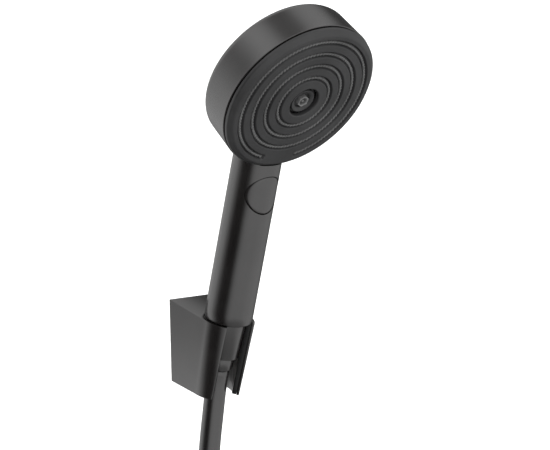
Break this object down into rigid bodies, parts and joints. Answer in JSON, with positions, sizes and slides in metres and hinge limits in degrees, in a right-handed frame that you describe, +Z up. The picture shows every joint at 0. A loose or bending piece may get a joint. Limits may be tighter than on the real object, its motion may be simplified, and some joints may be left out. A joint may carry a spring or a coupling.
{
  "type": "handheld shower head",
  "caption": "Handheld shower head with ringed spray face and a push button on its handle, in a sloping wall holder, with its hose.",
  "frame": {"origin": "centre of the holder's wall face", "axes": "+Y into the wall, +Z up, +X to the right seen from the room"},
  "size_m": [0.184, 0.1449, 0.5752],
  "materials": {
    "satin_black": "satin coated",
    "liner_black": "fine grained",
    "face_black": "matt moulded",
    "hose_black": "satin, smooth",
    "silicone": "soft matt",
    "seal": "matt",
    "tie": "matt",
    "steel": "brushed",
    "brass": "turned",
    "inner_grey": "moulded",
    "rotor_white": "moulded"
  },
  "bodies": {
    "holder": {"holder_body": "satin_black", "holder_insert": "liner_black", "wall_plate": "steel", "grub_screw": "steel"},
    "hose": {"hose_nipple": "brass", "hose_washer": "seal", "hose_ferrule": "satin_black", "hose_tube": "hose_black", "hose_coil": "hose_black", "hose_tail": "hose_black", "coil_tie": "tie", "end_ferrule": "satin_black", "end_nipple": "brass", "end_washer": "seal"},
    "end_nut": {"end_nut": "satin_black"},
    "hand_shower": {"body_shell": "satin_black", "inlet_connector": "brass", "inlet_oring": "seal", "inlet_filter": "steel", "cone_nut": "satin_black", "water_tube": "inner_grey", "valve_housing": "inner_grey", "valve_cover": "inner_grey", "stem_oring": "seal", "button_spring": "steel", "upper_duct": "inner_grey", "manifold": "inner_grey", "face_seal": "seal", "jet_plate": "inner_grey", "face_plate": "face_black", "nozzle_rings": "silicone", "centre_nozzle": "face_black", "centre_screw": "steel"},
    "select_button": {"select_button": "satin_black"},
    "valve_rotor": {"valve_rotor": "rotor_white"}
  },
  "joints": [
    {"name": "lift_out", "type": "slide", "parent": "holder", "child": "hose", "axis": [0, -0.304, 0.9527], "range_m": [0, 0.07]},
    {"name": "swivel", "type": "hinge", "parent": "hose", "child": "hand_shower", "pos_m": [0, -0.086, 0.168], "axis": [0, -0.304, 0.9527], "continuous": true},
    {"name": "button_press", "type": "slide", "parent": "hand_shower", "child": "select_button", "axis": [0, 0.9527, 0.304], "range_m": [0, 0.003], "stiffness_N_per_m": 1200, "springref_m": -0.002, "deforming": ["button_spring"]},
    {"name": "rotor_index", "type": "hinge", "parent": "hand_shower", "child": "valve_rotor", "pos_m": [0, -0.06487, 0.10179], "axis": [0, 0.9527, 0.304], "range_deg": [0, 60]},
    {"name": "end_nut_spin", "type": "hinge", "parent": "hose", "child": "end_nut", "pos_m": [-0.056, -0.032, -0.31], "axis": [0, 0, 1], "continuous": true}
  ],
  "couplings": [
    {"joint": "rotor_index", "follows": "button_press", "rad_per_m": 349}
  ]
}
